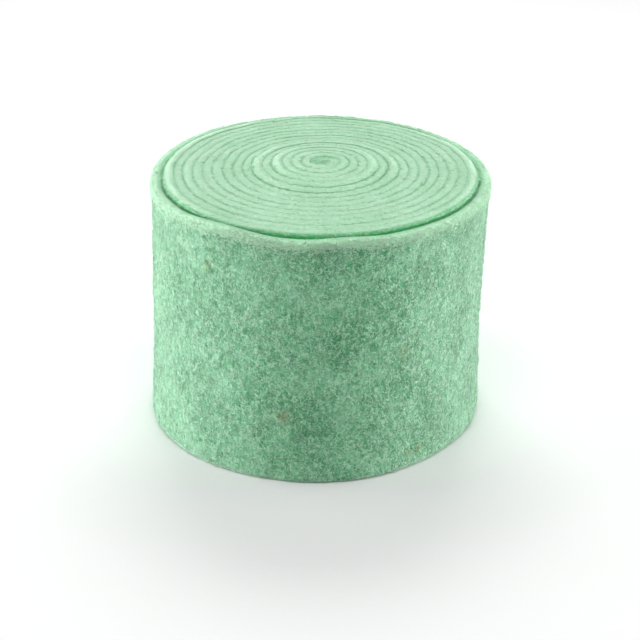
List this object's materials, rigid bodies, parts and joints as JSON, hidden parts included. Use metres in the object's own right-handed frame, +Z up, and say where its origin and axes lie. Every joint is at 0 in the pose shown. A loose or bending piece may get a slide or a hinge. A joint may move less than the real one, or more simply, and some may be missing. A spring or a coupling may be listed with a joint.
{
  "type": "roll of felt",
  "caption": "Ribbon of thick wool felt wound round itself into a roll with no core, standing on its cut edge.",
  "frame": {"origin": "on the surface that the roll stands on, under the middle of its box", "axes": "+Z up along the roll's axis, -Y to the front; the strip's outer end is at the back"},
  "size_m": [0.2032, 0.202, 0.1577],
  "materials": {
    "felt": "thick carded wool felt dyed mint green, matt and fuzzy, with a few tan fibres; its cut edges are paler"
  },
  "bodies": {
    "root": {"felt_roll": "felt"}
  },
  "joints": []
}
